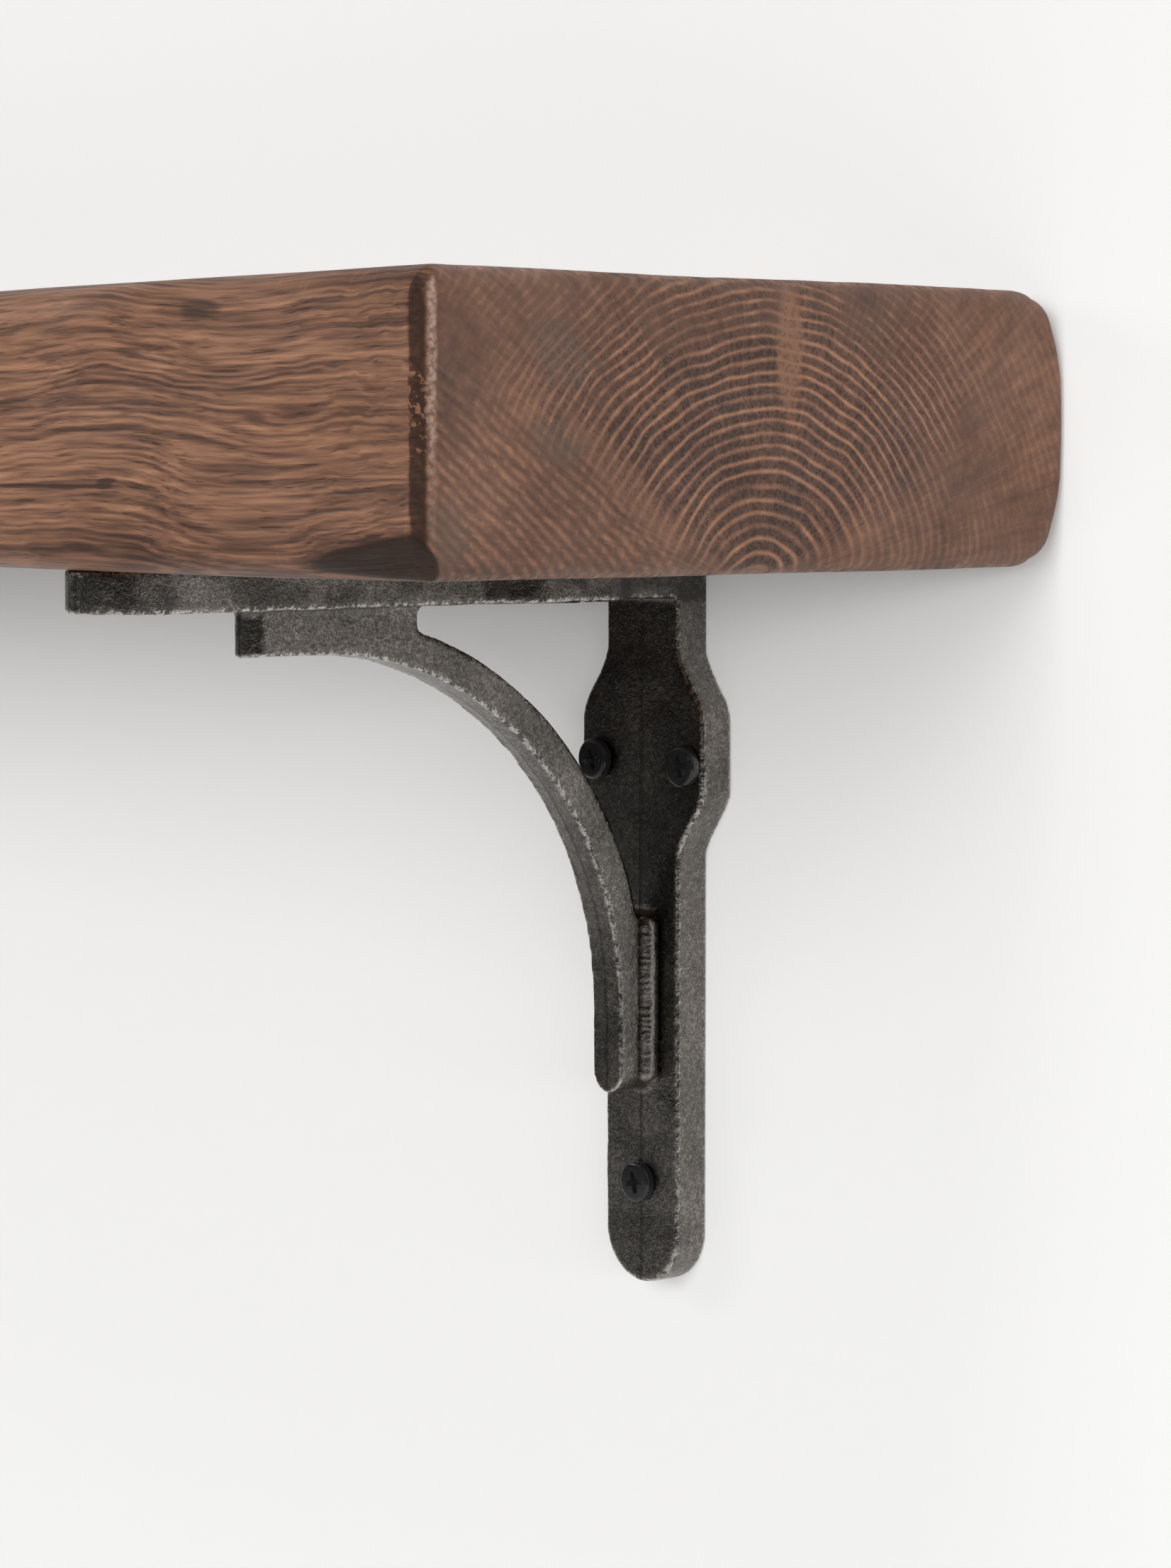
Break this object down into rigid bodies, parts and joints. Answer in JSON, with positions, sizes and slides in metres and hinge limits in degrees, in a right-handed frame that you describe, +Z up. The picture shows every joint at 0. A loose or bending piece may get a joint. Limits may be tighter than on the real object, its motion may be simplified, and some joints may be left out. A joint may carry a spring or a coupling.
{
  "type": "bracketed wall shelf",
  "caption": "Thick dark-stained timber shelf board on curved cast-iron L brackets, screwed to a wall, with rounded edges and pan-head screws.",
  "frame": {"origin": "centre of the board's back face, in the plane of the wall", "axes": "+X along the wall to the right, +Y into the wall, +Z up"},
  "size_m": [0.61, 0.188, 0.198],
  "materials": {
    "timber": "dark walnut stain and wax, satin, sawn and sanded softwood with visible growth rings",
    "cast_iron": "raw grey iron, waxed, fine sand-cast grain, edges rubbed brighter",
    "black_screw": "glossy black-oxide and lacquer",
    "nylon": "plain grey nylon"
  },
  "bodies": {
    "root": {"shelf_board": "timber", "bracket_left": "cast_iron", "wall_screw_left_outer": "black_screw", "wall_screw_left_inner": "black_screw", "wall_screw_left_lower": "black_screw", "wall_plug_left_outer": "nylon", "wall_plug_left_inner": "nylon", "wall_plug_left_lower": "nylon", "shelf_screw_left_outer": "black_screw", "shelf_screw_left_inner": "black_screw", "shelf_screw_left_front": "black_screw", "bracket_right": "cast_iron", "wall_screw_right_outer": "black_screw", "wall_screw_right_inner": "black_screw", "wall_screw_right_lower": "black_screw", "wall_plug_right_outer": "nylon", "wall_plug_right_inner": "nylon", "wall_plug_right_lower": "nylon", "shelf_screw_right_outer": "black_screw", "shelf_screw_right_inner": "black_screw", "shelf_screw_right_front": "black_screw"}
  },
  "joints": []
}
